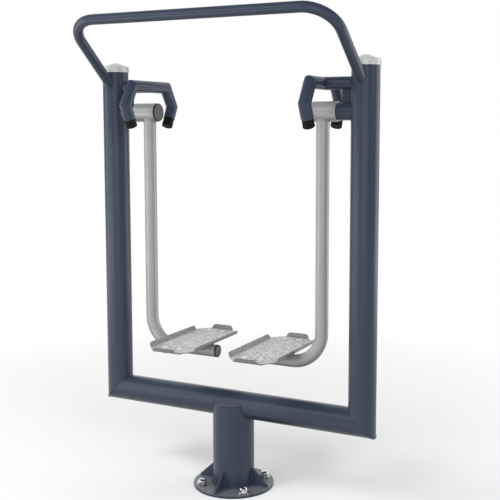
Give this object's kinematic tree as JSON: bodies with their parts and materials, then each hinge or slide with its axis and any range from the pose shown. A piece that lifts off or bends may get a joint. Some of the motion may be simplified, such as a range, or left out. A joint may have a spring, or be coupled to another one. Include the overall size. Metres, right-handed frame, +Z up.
{
  "type": "outdoor air walker",
  "caption": "Outdoor air walker: foot pedals on swinging legs hang in a welded tube frame with a handrail, on a post bolted to the ground.",
  "frame": {"origin": "on the ground, at the centre of the base flange's underside, under the post's axis", "axes": "+Z up; +X along the cross beam towards the right upright; -Y to the front, the side the handrail leans out to; legs at rest hang straight down"},
  "size_m": [1.0204, 0.478, 1.5678],
  "materials": {
    "frame_paint": "satin anthracite powder coat",
    "silver_paint": "satin silver powder coat",
    "cap_metal": "satin",
    "stainless": "polished stainless",
    "steel": "turned",
    "tray_metal": "matt sheet with raised tread",
    "rubber": "matt black",
    "black_plastic": "matt",
    "grey_plastic": "matt"
  },
  "bodies": {
    "frame": {"base_flange": "frame_paint", "base_post": "frame_paint", "post_plate_front": "frame_paint", "post_plate_rear": "frame_paint", "gusset_right": "frame_paint", "gusset_rear": "frame_paint", "gusset_left": "frame_paint", "gusset_front": "frame_paint", "anchor_washer_1": "stainless", "anchor_washer_2": "stainless", "anchor_washer_3": "stainless", "anchor_washer_4": "stainless", "anchor_nut_1": "stainless", "anchor_nut_2": "stainless", "anchor_nut_3": "stainless", "anchor_nut_4": "stainless", "cross_beam": "frame_paint", "handrail": "frame_paint", "upright_right": "frame_paint", "upright_left": "frame_paint", "upright_cap_right": "cap_metal", "upright_cap_left": "cap_metal", "bracket_arm_right": "frame_paint", "bracket_arm_left": "frame_paint", "stop_bracket_right": "frame_paint", "stop_bracket_left": "frame_paint", "buffer_right_front": "rubber", "buffer_right_rear": "rubber", "buffer_left_front": "rubber", "buffer_left_rear": "rubber", "axle_collar_right": "frame_paint", "axle_collar_left": "frame_paint", "axle_shaft_right": "steel", "axle_shaft_left": "steel", "axle_nut_right": "steel", "axle_nut_left": "steel"},
    "left_leg": {"hub_left": "silver_paint", "hub_cap_left": "black_plastic", "bearing_left_outboard": "steel", "bearing_left_inboard": "steel", "leg_left": "silver_paint", "foot_plug_left": "grey_plastic", "pedal_carrier_left": "silver_paint", "pedal_tray_left": "tray_metal", "pedal_screw_left_1": "stainless", "pedal_screw_left_2": "stainless", "pedal_screw_left_3": "stainless", "pedal_screw_left_4": "stainless"},
    "right_leg": {"hub_right": "silver_paint", "hub_cap_right": "black_plastic", "bearing_right_outboard": "steel", "bearing_right_inboard": "steel", "leg_right": "silver_paint", "foot_plug_right": "grey_plastic", "pedal_carrier_right": "silver_paint", "pedal_tray_right": "tray_metal", "pedal_screw_right_1": "stainless", "pedal_screw_right_2": "stainless", "pedal_screw_right_3": "stainless", "pedal_screw_right_4": "stainless"}
  },
  "joints": [
    {"name": "left_leg_swing", "type": "hinge", "parent": "frame", "child": "left_leg", "pos_m": [-0.323, 0, 1.261], "axis": [1, 0, 0], "range_deg": [-53, 53]},
    {"name": "right_leg_swing", "type": "hinge", "parent": "frame", "child": "right_leg", "pos_m": [0.323, 0, 1.261], "axis": [1, 0, 0], "range_deg": [-53, 53]}
  ]
}
